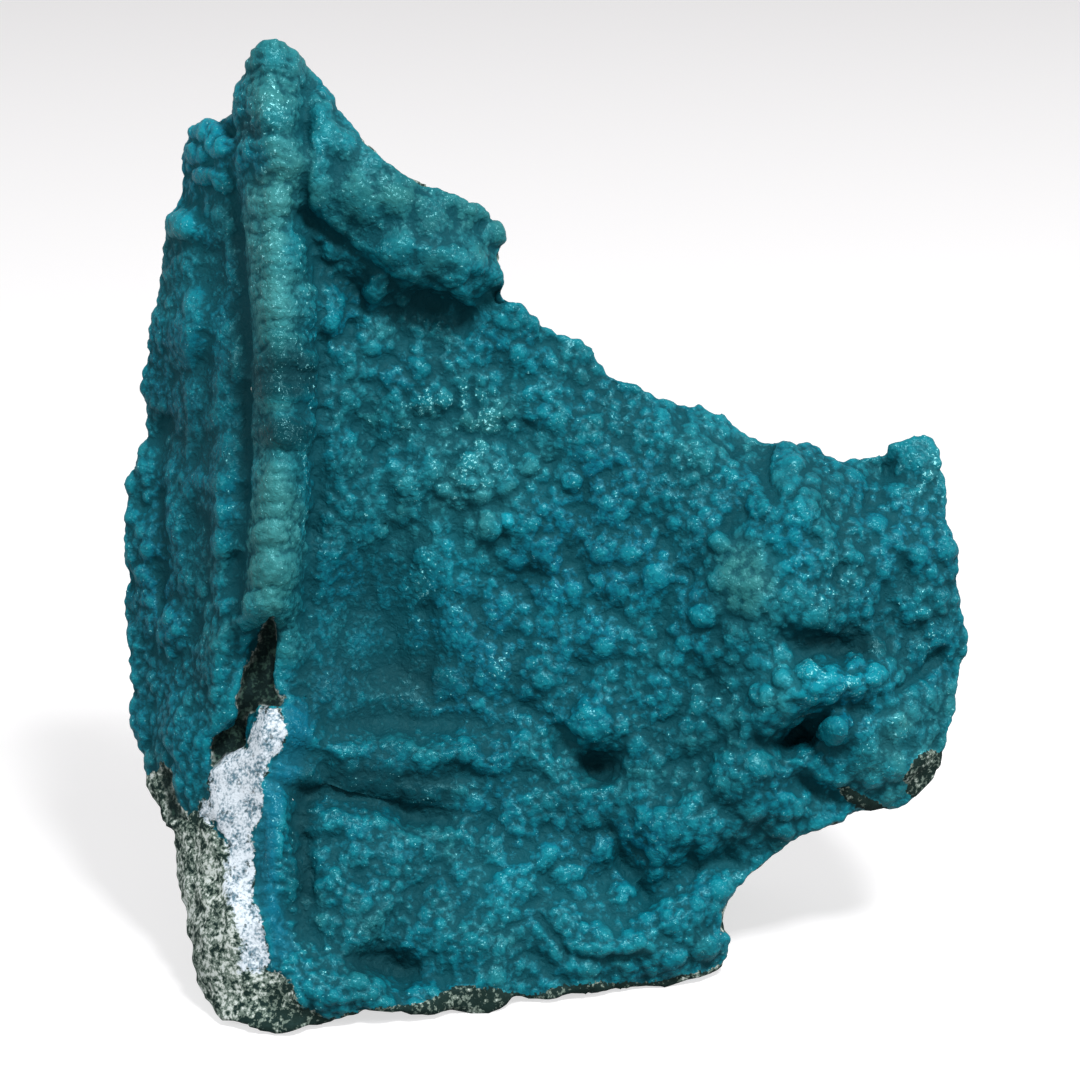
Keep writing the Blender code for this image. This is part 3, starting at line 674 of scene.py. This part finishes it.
@dataclass
class Specimen:
    """The stone: refined form, bubbles, broken rock and its colours."""

    face: FaceFrame = FaceFrame()
    crust_finish: CrustFinish = CrustFinish()
    rock_finish: RockFinish = RockFinish()
    gloss: Gloss = Gloss()
    relief: Relief = Relief()
    voxel: float = 0.26
    triangles: int = 196000
    rock_triangles: int = 36000
    mounds: Bubbles = Bubbles((BubbleSize(3.4, 700, 0.55), BubbleSize(2.0, 3000, 0.55)),
                              spread=0.2, rise=0.20, bulge=1.9, seed=3)
    bubbles: Bubbles = Bubbles((BubbleSize(1.15, 700, 0.85), BubbleSize(0.86, 10000, 0.62),
                                BubbleSize(0.64, 40000, 0.56), BubbleSize(0.46, 60000, 0.58)),
                               spread=0.16, rise=0.44, bulge=1.25, seed=5)

    def build(self) -> bpy.types.Object:
        """Make the piece and dress it.

        Returns:
            The finished object, at the origin.
        """
        piece = self._refined_copy()
        layers = self._shape(piece)
        self._thin(piece, layers)
        self._dress(piece)
        return piece

    def _refined_copy(self) -> bpy.types.Object:
        """Copy the stone's node, merge its corners and give it a fine, even mesh."""
        source = bpy.data.objects[NODE]
        piece = bpy.data.objects.new("mineral_surface", source.data.copy())
        bpy.context.scene.collection.objects.link(piece)
        bpy.ops.object.select_all(action="DESELECT")
        piece.select_set(True)
        bpy.context.view_layer.objects.active = piece
        piece.data.transform(source.matrix_world)
        bpy.ops.object.mode_set(mode="EDIT")
        bpy.ops.mesh.select_all(action="SELECT")
        bpy.ops.mesh.remove_doubles(threshold=0.000005)
        bpy.ops.object.mode_set(mode="OBJECT")
        even = piece.modifiers.new("even", "REMESH")
        even.mode = "VOXEL"
        even.voxel_size = self.voxel * MM
        bpy.ops.object.modifier_apply(modifier=even.name)
        self._rub(piece, self.relief.rub_rounds)
        return piece

    @staticmethod
    def _rub(piece: bpy.types.Object, rounds: int) -> None:
        """Rub the surface smooth, so many times over."""
        rub = piece.modifiers.new("rub", "SMOOTH")
        rub.factor = 0.5
        rub.iterations = rounds
        bpy.ops.object.modifier_apply(modifier=rub.name)

    @staticmethod
    def _points(mesh: Mesh) -> Array:
        """The mesh's points in millimetres."""
        flat = np.empty(len(mesh.vertices) * 3)
        mesh.vertices.foreach_get("co", flat)
        return flat.reshape(-1, 3) / MM

    @staticmethod
    def _ends(mesh: Mesh) -> Array:
        """The two points of each edge."""
        ends = np.empty(len(mesh.edges) * 2, dtype=np.int32)
        mesh.edges.foreach_get("vertices", ends)
        return ends.reshape(-1, 2)

    @staticmethod
    def _with_neighbours(values: Array, ends: Array) -> Array:
        """Each point's three values and its neighbours', added up."""
        total = values.copy()
        for k in range(3):
            total[:, k] += np.bincount(ends[:, 0], values[ends[:, 1], k], len(values))
            total[:, k] += np.bincount(ends[:, 1], values[ends[:, 0], k], len(values))
        return total

    def _normals(self, mesh: Mesh, rounds: int) -> Array:
        """Vertex normals, averaged with their neighbours' so many times."""
        flat = np.empty(len(mesh.vertices) * 3)
        mesh.vertices.foreach_get("normal", flat)
        normals = flat.reshape(-1, 3)
        ends = self._ends(mesh)
        for _ in range(rounds):
            total = self._with_neighbours(normals, ends)
            normals = total / np.linalg.norm(total, axis=1, keepdims=True)
        return normals

    def _under(self, face: Array) -> Array:
        """How deep each point lies under the front surface, in millimetres."""
        cell = self.relief.column
        column = np.floor(face[:, 0] / cell).astype(int)
        row = np.floor(face[:, 1] / cell).astype(int)
        column -= column.min()
        row -= row.min()
        front = np.full((column.max() + 1, row.max() + 1), -1e9)
        np.maximum.at(front, (column, row), face[:, 2])
        return front[column, row] - face[:, 2]

    def _skin(self, face: Array, points: Array) -> Array:
        """How much of each point is crust, by its depth under the front surface."""
        depth = self.relief.crust_depth * (1.0 + wander(points, Wave.SKIN_DEPTH.value))
        return smooth_step((depth - self._under(face)) / self.relief.crust_fade + 0.5)

    def _shape(self, piece: bpy.types.Object) -> dict[Layer, Array]:
        """Grow the bubbles and roughen the rock.

        Args:
            piece: The refined copy, whose points are moved.

        Returns:
            The value of each layer at each point.
        """
        mesh = piece.data
        relief = self.relief
        points = self._points(mesh)
        normals = self._normals(mesh, relief.normal_rounds)
        face = self.face.read(points)

        def wave(kind: Wave, where: Array = points) -> Array:
            """A noise of the stone, at its points if no others are given."""
            return wander(where, kind.value)

        sway = wave(Wave.EDGE_FINE) + wave(Wave.EDGE_WIDE)
        front = self._skin(face, points)
        white = WHITE_ZONE.share(face, sway) * front
        cavity = np.maximum(RIB_CAVITY.share(face, sway), WING_CRACK.share(face, sway)) * front
        bare = white.copy()
        for patch in (BARE_ROCK, RIB_CAVITY, WING_CRACK, BOTTOM_BAND, BITE_EDGE, CORNER_ROCK,
                      BLOCK_SEAM):
            bare = np.maximum(bare, patch.share(face, sway))
        crust = front * (1.0 - bare)
        rim = CRUST_RIM.share(face, sway * relief.rim_sway) * crust

        size = 1.0 + together(BUBBLE_SIZES, face)
        gain = np.clip(1.0 + together(BUBBLE_GAINS, face), *relief.gain_range)
        gain = gain * (1.0 - relief.rim_calm * rim)
        mounds = self.mounds.grow(points, crust, np.ones(len(points)))
        bubbles = self.bubbles.grow(points, crust, size)
        bubble = gain ** 0.5 * mounds[:, 0]
        bubble += gain * np.maximum(bubbles[:, 0], relief.crease_floor)
        fill = together(FILLS, face)
        fill += WING_COLUMNS.share(face) * wave(Wave.COLUMNS, face * COLUMN_STRETCH)
        lift = bubble - relief.crust_sink + self._rib_bands(face) + self._lone_lumps(face)
        lift = crust * (lift + fill - self._grooves(face))

        grit = wave(Wave.GRIT_FINE) + wave(Wave.GRIT_MIDDLE)
        grit += np.abs(wave(Wave.GRIT_WIDE)) - relief.grit_sink
        inner = (self._under(face) - relief.back_from) / relief.back_fade
        inner = smooth_step(inner + relief.back_sway * sway)
        facets = np.abs(wave(Wave.BACK_FACETS)) + wave(Wave.BACK_GRIT)
        grit += inner * (facets - relief.back_sink)
        on_ground = smooth_step(points[:, 2] / relief.foot_ease)
        lift += (1.0 - crust) * grit * on_ground * (1.0 - relief.white_calm * white)
        lift -= relief.cavity_depth * cavity
        lift *= relief.foot_share + (1.0 - relief.foot_share) * on_ground

        moved = points + normals * lift[:, None]
        mesh.vertices.foreach_set("co", (moved * MM).ravel())
        mesh.update()
        self._rub(piece, 1)

        tone_and_shade = together(TONES_AND_PAINTED_SHADE, face) + wave(Wave.TONE_WIDE) + wave(Wave.TONE_FINE)
        hue = together(HUES, face) + wave(Wave.HUE_WIDE) + wave(Wave.HUE_FINE)
        shade = together(ROCK_SHADES, face)
        return {
            Layer.SPARKLE: np.clip(together(PAINTED_GLINT_SPOTS, face), 0.0, 1.0),
            Layer.TINT: bubbles[:, 1],
            Layer.INNER: inner,
            Layer.CRUST: crust,
            Layer.WHITE: white,
            Layer.CAVITY: cavity - shade * (1.0 - cavity),
            Layer.TONE: tone_and_shade,
            Layer.HUE: hue,
            Layer.RIM: rim,
        }

    @staticmethod
    def _rib_bands(face: Array) -> Array:
        """Rise of the bands across the rib, with a crease between one and the next."""
        heights = [v for v, _ in RIB_CREST][::-1]
        crest = np.interp(face[:, 1], heights, [u for _, u in RIB_CREST][::-1])
        across = (face[:, 0] - crest) / RIB_HALF_WIDTH
        bow = face[:, 1] + 0.8 * across ** 2 + wander(face, Wave.RIB_BOW.value)
        best = np.zeros(len(face))
        for v, half, rise in RIB_BANDS:
            along = np.clip(1.0 - ((bow - v) / (1.15 * half)) ** 2, 0.0, None)
            best = np.maximum(best, rise * along ** 0.35)
        turns = (bow + wander(face, Wave.RIB_FINE.value)) / RIB_FINE_PITCH
        fine = np.abs(np.sin(math.pi * turns)) ** 0.6
        return (best + RIB_FINE_RISE * fine) * smooth_step(2.2 - 1.6 * np.abs(across))

    @staticmethod
    def _lone_lumps(face: Array) -> Array:
        """Rise of the lumps that stand out by themselves."""
        best = np.zeros(len(face))
        for u, v, half_u, half_v, rise in LONE_LUMPS:
            reach = ((face[:, 0] - u) / half_u) ** 2 + ((face[:, 1] - v) / half_v) ** 2
            best = np.maximum(best, rise * np.sqrt(np.clip(1.0 - reach, 0.0, None)))
        return best

    @staticmethod
    def _grooves(face: Array) -> Array:
        """Depth of the narrow grooves."""
        u, v = face[:, 0], face[:, 1]
        depth = np.zeros(len(face))
        for path, half, deep in GROOVES:
            nearest = np.full(len(face), 1e9)
            for start, end in zip(path, path[1:]):
                nearest = np.minimum(nearest, to_segment(u, v, start, end))
            depth = np.maximum(depth, deep * np.exp(-(nearest / half) ** 2))
        return depth

    def _sunk(self, mesh: Mesh, rounds: int) -> Array:
        """How far each point lies under its surroundings, in millimetres, less than 0 on a top.

        Args:
            mesh: The finished mesh.
            rounds: How many neighbours away the surroundings reach.

        Returns:
            One number for each point.
        """
        points = self._points(mesh)
        ends = self._ends(mesh)
        number = 1.0 + np.bincount(ends.ravel(), minlength=len(points))
        even = points.copy()
        for _ in range(rounds):
            even = self._with_neighbours(even, ends) / number[:, None]
        return np.sum((even - points) * self._normals(mesh, 2), axis=1)

    @staticmethod
    def _triangles(mesh: Mesh) -> int:
        """How many triangles the mesh's faces make."""
        return sum(len(face.vertices) - 2 for face in mesh.polygons)

    def _collapse(self, piece: bpy.types.Object, target: int, group: str = "") -> None:
        """Collapse edges until the piece has so many triangles.

        Args:
            piece: The piece to thin.
            target: Triangles to keep.
            group: Vertex group that alone is thinned, or nothing for all of it.
        """
        count = self._triangles(piece.data)
        LOG.info("%s has %d triangles", piece.name, count)
        if count <= target:
            return
        thin = piece.modifiers.new("thin", "DECIMATE")
        thin.ratio = target / count
        thin.vertex_group = group
        bpy.ops.object.modifier_apply(modifier=thin.name)

    def _thin(self, piece: bpy.types.Object, layers: dict[Layer, Array]) -> None:
        """Spend the triangles where the surface bends, and carry the layers over."""
        mesh = piece.data
        before = self._points(mesh)
        tree = tree_of(before)
        rock = np.flatnonzero(layers[Layer.CRUST] < 0.5)
        group = piece.vertex_groups.new(name="rock")
        group.add([int(i) for i in rock], 1.0, "REPLACE")
        share = len(rock) / len(before)
        target = int(self._triangles(mesh) * (1.0 - share)) + self.rock_triangles
        self._collapse(piece, target, group.name)
        self._collapse(piece, self.triangles)
        piece.vertex_groups.clear()
        after = self._points(piece.data)
        nearest = np.array([tree.find(Vector(point))[1] for point in after])
        layers = {layer: values[nearest] for layer, values in layers.items()}
        layers[Layer.SUNK_NEAR] = self._sunk(piece.data, self.relief.near_rounds)
        layers[Layer.SUNK_WIDE] = self._sunk(piece.data, self.relief.wide_rounds)
        for layer, values in layers.items():
            made = piece.data.attributes.new(layer.value, "FLOAT", "POINT")
            made.data.foreach_set("value", values.astype(np.float32))
        bpy.ops.object.shade_smooth()
        LOG.info("kept mesh has %d faces", len(piece.data.polygons))

    def _dress(self, piece: bpy.types.Object) -> None:
        """Give the piece its one material, crust and rock by its layers."""
        material = bpy.data.materials.new("chrysocolla_and_rock")
        material.use_nodes = True
        bench = Bench(material.node_tree)
        shader = material.node_tree.nodes["Principled BSDF"]
        here = bench.node("ShaderNodeTexCoord").outputs["Object"]
        scaled = bench.node("ShaderNodeMapping")
        scaled.inputs["Scale"].default_value = (1.0 / MM,) * 3
        bench.feed(scaled.inputs["Vector"], here)
        where = scaled.outputs["Vector"]

        ragged = bench.math("ADD", bench.attribute(Layer.CRUST),
                            bench.remap(bench.grain(where, 2.4, 1.0), 0.3, 0.7, -0.25, 0.25))
        is_crust = bench.remap(ragged, 0.42, 0.58)
        grit = bench.grain(where, 2.3, 3.0, 0.68)
        crust_colour, crust_rough, bead = self._crust_nodes(bench, where, grit)
        rock_colour, rock_rough = self._rock_nodes(bench, where, grit)
        bench.feed(shader.inputs["Base Color"], bench.mix(is_crust, rock_colour, crust_colour))
        bench.feed(shader.inputs["Roughness"], bench.blend(is_crust, rock_rough, crust_rough))
        bump = bench.node("ShaderNodeBump")
        bump.inputs["Strength"].default_value = self.gloss.grain_strength
        bump.inputs["Distance"].default_value = self.gloss.grain_height * MM
        height = bench.blend(bench.attribute(Layer.CRUST), grit, bench.math("MULTIPLY", bead, 0.9))
        bench.feed(bump.inputs["Height"], height)
        bench.feed(shader.inputs["Normal"], bump.outputs["Normal"])
        shader.inputs["IOR"].default_value = self.gloss.bending
        shader.inputs["Specular IOR Level"].default_value = self.gloss.level
        shader.inputs["Specular Tint"].default_value = self.crust_finish.sheen
        piece.data.materials.clear()
        piece.data.materials.append(material)

    def _crust_nodes(self, bench: Bench, where: Socket, grit: Socket) -> tuple[Socket, ...]:
        """Colour, roughness and beaded height of the crust.

        Args:
            bench: The material's bench.
            where: Object coordinates in millimetres.
            grit: Fine noise shared with the rock.

        Returns:
            The colour, the roughness and the height of its fine beads.
        """
        finish = self.crust_finish
        swayed = bench.swayed(where, 0.9, 0.45)
        beads = bench.cells(swayed, 1.6)
        small = bench.cells(swayed, 3.4)
        hue, tint = bench.attribute(Layer.HUE), bench.attribute(Layer.TINT)
        bead = bench.math("ADD", bench.remap(beads.outputs["Distance"], 0.05, 0.65, 0.75, 0.0),
                          bench.remap(small.outputs["Distance"], 0.1, 0.7, 0.25, 0.0))
        own = bench.node("ShaderNodeSeparateColor")
        bench.feed(own.inputs["Color"], small.outputs["Color"])
        # Painted light and shade: lower in creases, hollows and between beads, higher on tops; the
        # bubbles' tint, their own blue and the grit add random tone
        painted_light_and_tone = bench.total(
            bench.remap(bench.attribute(Layer.SUNK_NEAR), 0.12, -0.12),
            bench.remap(bench.attribute(Layer.SUNK_WIDE), 0.9, -0.7, -0.40, 0.30),
            bench.math("MULTIPLY", tint, 0.14), bench.remap(bead, 0.1, 0.8, -0.30, 0.16),
            bench.remap(own.outputs["Blue"], 0.0, 1.0, -0.12, 0.12),
            bench.remap(grit, 0.3, 0.7, -0.25, 0.25))
        body = bench.mix(bench.remap(hue, 0.0, 1.0), finish.body, finish.green)
        body = bench.mix(bench.remap(hue, 0.0, -1.0), body, finish.blue)
        # Painted shade in the creases, painted light on the tops
        colour = bench.mix(bench.remap(painted_light_and_tone, 0.05, 0.50), finish.crease, body)
        top = bench.mix(bench.remap(hue, 0.0, 0.8), finish.top, finish.moss)
        colour = bench.mix(bench.remap(painted_light_and_tone, 0.50, 1.20), colour, top)
        tone_and_shade = bench.attribute(Layer.TONE)
        # Paler tone shows most on the lit tops, partly painted light
        pale_here = bench.math("MULTIPLY", bench.remap(tone_and_shade, 0.0, 1.0),
                               bench.remap(painted_light_and_tone, 0.1, 0.9, 0.25, 0.8))
        pale = bench.mix(bench.remap(hue, -0.2, 0.5), finish.bright, finish.pale)
        colour = bench.mix(pale_here, colour, pale)
        # Darker tone: the rib's dark patch, and painted shade in hollows and grooves
        colour = bench.mix(bench.remap(tone_and_shade, 0.0, -1.0, 0.0, 0.85), colour, finish.deep)
        rim = bench.math("MULTIPLY", bench.attribute(Layer.RIM), bench.remap(painted_light_and_tone, 0.0, 0.9, 0.3, 0.9))
        colour = bench.mix(rim, colour, finish.rim)

        # Painted glints: spots of glint colour on the lit tops, more of them where fine crystals are
        # marked
        on_some = bench.remap(tint, -0.2, 0.5, 0.03, 0.14)
        more = bench.math("MULTIPLY", bench.attribute(Layer.SPARKLE), on_some)
        chance = bench.math("ADD", bench.grain(where, 3.1, 2.0, 0.7), more)
        painted_glint_share = bench.math("MULTIPLY", bench.remap(chance, 0.67, 0.73), bench.remap(painted_light_and_tone, 0.35, 0.70))
        colour = bench.mix(painted_glint_share, colour, finish.painted_glint_colour)
        rough = bench.remap(grit, 0.3, 0.7, finish.roughness - 0.05, finish.roughness + 0.20)
        rough = bench.math("ADD", rough, bench.remap(painted_light_and_tone, 0.7, 0.1, 0.0, 0.40))
        return colour, bench.math("SUBTRACT", rough, bench.math("MULTIPLY", painted_glint_share, 0.1), True), bead

    def _rock_nodes(self, bench: Bench, where: Socket, grit: Socket) -> tuple[Socket, ...]:
        """Colour and roughness of the broken rock.

        Args:
            bench: The material's bench.
            where: Object coordinates in millimetres.
            grit: Fine noise shared with the crust.

        Returns:
            The colour and the roughness.
        """
        finish = self.rock_finish
        fleck = bench.grain(where, 3.6, 1.0)
        vein = bench.grain(where, 0.28, 3.0)
        clump = bench.grain(where, 0.7, 2.0)
        cavity = bench.attribute(Layer.CAVITY)
        coarse = bench.total(bench.grain(where, 2.1, 3.0, 0.65),
                             bench.remap(clump, 0.35, 0.65, -0.09, 0.09),
                             bench.remap(cavity, 0.0, -1.0, 0.0, -0.16))
        speckle = bench.mix(bench.remap(coarse, 0.40, 0.46), finish.dark, finish.green)
        speckle = bench.mix(bench.remap(coarse, 0.51, 0.60), speckle, finish.light)
        inner = bench.mix(bench.remap(coarse, 0.40, 0.54), finish.dark, finish.slate)
        inner = bench.mix(bench.remap(vein, 0.40, 0.62, 0.0, 0.75), inner, finish.brown)
        inner = bench.mix(bench.remap(coarse, 0.60, 0.70, 0.0, 0.7), inner, finish.light)
        seam = bench.math("ABSOLUTE", bench.math("SUBTRACT", bench.grain(where, 0.11, 5.0, 0.6), 0.52))
        seam = bench.math("ADD", seam, bench.remap(coarse, 0.3, 0.7, -0.012, 0.012))
        inner = bench.mix(bench.remap(seam, 0.024, 0.006, 0.0, 0.85), inner, finish.malachite)
        inner = bench.mix(bench.remap(seam, 0.012, 0.002, 0.0, 0.8), inner, finish.copper)
        colour = bench.mix(bench.attribute(Layer.INNER), speckle, inner)
        dusty = bench.math("ADD", bench.math("MULTIPLY", fleck, 0.6), bench.math("MULTIPLY", clump, 0.6))
        dusty = bench.mix(bench.remap(dusty, 0.46, 0.66), finish.stained, finish.white)
        white = bench.math("ADD", bench.attribute(Layer.WHITE), bench.remap(coarse, 0.3, 0.7, -0.5, 0.5))
        colour = bench.mix(bench.remap(white, 0.35, 0.75), colour, dusty)
        # Painted shade: the hollow under the rib and the crack turn near black, flecked with moss
        void = bench.mix(bench.remap(coarse, 0.50, 0.66), finish.void, finish.moss)
        colour = bench.mix(bench.remap(cavity, 0.0, 1.0), colour, void)
        return colour, bench.remap(grit, 0.3, 0.7, 0.9, 0.6)


@dataclass(frozen=True)
class Lamp:
    """A square soft light: its name, its place and side in metres, and its power in watts."""

    name: str
    at: Place
    side: float
    power: float


@dataclass
class Studio:
    """Pale floor, soft lights and the camera."""

    face: FaceFrame = FaceFrame()
    floor_side: float = 6.0
    floor_colour: Colour = (0.50, 0.495, 0.50, 1.0)
    floor_glow: float = 0.66
    wall_at: float = 1.1
    wall_top: float = 4.0
    bend: float = 0.5
    bend_steps: int = 12
    surround: Colour = (0.98, 0.99, 1.0, 1.0)
    surround_glow: float = 0.36
    near_glow: Colour = (1.0, 0.995, 1.0, 1.0)
    far_glow: Colour = (0.60, 0.585, 0.585, 1.0)
    lamps: tuple[Lamp, ...] = (
        Lamp("key", (0.22, -0.34, 0.75), 0.18, 6.7),
        Lamp("right", (0.80, -0.25, 0.35), 0.18, 2.0),
        Lamp("left", (-0.75, -0.40, 0.45), 0.18, 2.0),
    )
    aim: Place = (0.0, 0.0, 0.045)

    def build(self) -> None:
        """Lay the floor, hang the lights and place the camera."""
        self._floor()
        for lamp in self.lamps:
            self._light(lamp)
        self._world()
        self._camera()

    def _floor(self) -> None:
        """A floor that curves up into a pale wall."""
        shape = bmesh.new()
        half = self.floor_side / 2.0
        profile = [(-half, 0.0), (self.wall_at, 0.0)]
        bend = self.bend
        for k in range(1, self.bend_steps + 1):
            angle = math.radians(90.0 * k / self.bend_steps)
            profile.append((self.wall_at + bend * math.sin(angle), bend * (1.0 - math.cos(angle))))
        profile.append((self.wall_at + bend, self.wall_top))
        left = [shape.verts.new((-half, y, z)) for y, z in profile]
        right = [shape.verts.new((half, y, z)) for y, z in profile]
        for k in range(len(profile) - 1):
            shape.faces.new((left[k], right[k], right[k + 1], left[k + 1]))
        mesh = bpy.data.meshes.new("pale_floor")
        shape.to_mesh(mesh)
        shape.free()
        floor = bpy.data.objects.new("pale_floor", mesh)
        bpy.context.scene.collection.objects.link(floor)
        for face in mesh.polygons:
            face.use_smooth = True
        material = bpy.data.materials.new("pale_floor")
        material.use_nodes = True
        shader = material.node_tree.nodes["Principled BSDF"]
        shader.inputs["Base Color"].default_value = self.floor_colour
        shader.inputs["Roughness"].default_value = 0.6
        bench = Bench(material.node_tree)
        here = bench.node("ShaderNodeSeparateXYZ")
        bench.feed(here.inputs[0], bench.node("ShaderNodeTexCoord").outputs["Object"])
        fading = bench.mix(bench.remap(here.outputs["Y"], -0.05, 0.45), self.near_glow, self.far_glow)
        bench.feed(shader.inputs["Emission Color"], fading)
        shader.inputs["Emission Strength"].default_value = self.floor_glow
        mesh.materials.append(material)
        floor.visible_glossy = False
        floor.visible_diffuse = False

    def _light(self, lamp: Lamp) -> None:
        """Hang one lamp, turned to the stone."""
        data = bpy.data.lights.new(lamp.name, "AREA")
        data.shape = "SQUARE"
        data.size = lamp.side
        data.energy = lamp.power
        hung = bpy.data.objects.new(lamp.name, data)
        hung.location = lamp.at
        look = Vector(self.aim) - Vector(lamp.at)
        hung.rotation_euler = look.to_track_quat("-Z", "Y").to_euler()
        bpy.context.scene.collection.objects.link(hung)

    def _world(self) -> None:
        """A plain pale surround."""
        world = bpy.data.worlds.new("studio")
        world.use_nodes = True
        glow = world.node_tree.nodes["Background"]
        glow.inputs["Color"].default_value = self.surround
        glow.inputs["Strength"].default_value = self.surround_glow
        bpy.context.scene.world = world

    def _camera(self) -> None:
        """Look squarely at the leaning face from the eye's place."""
        data = bpy.data.cameras.new("camera")
        data.sensor_width = 36.0
        data.angle = 2.0 * math.atan(PICTURE_SIDE / 2.0 / EYE_DISTANCE)
        camera = bpy.data.objects.new("camera", data)
        camera.location = self.face.eye()
        camera.rotation_euler = (math.radians(90.0) - FACE_LEAN, 0.0, 0.0)
        data.clip_start = 0.01
        bpy.context.scene.collection.objects.link(camera)
        bpy.context.scene.camera = camera
        bpy.context.scene.view_settings.view_transform = "Standard"


def main() -> None:
    logging.basicConfig(level=logging.INFO, format="%(message)s")
    Studio().build()
    LOG.info("built the studio")
    piece = Specimen().build()
    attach(piece, "root")
    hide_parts(NODE)
    LOG.info("built %s", piece.name)


if __name__ == "__main__":
    main()
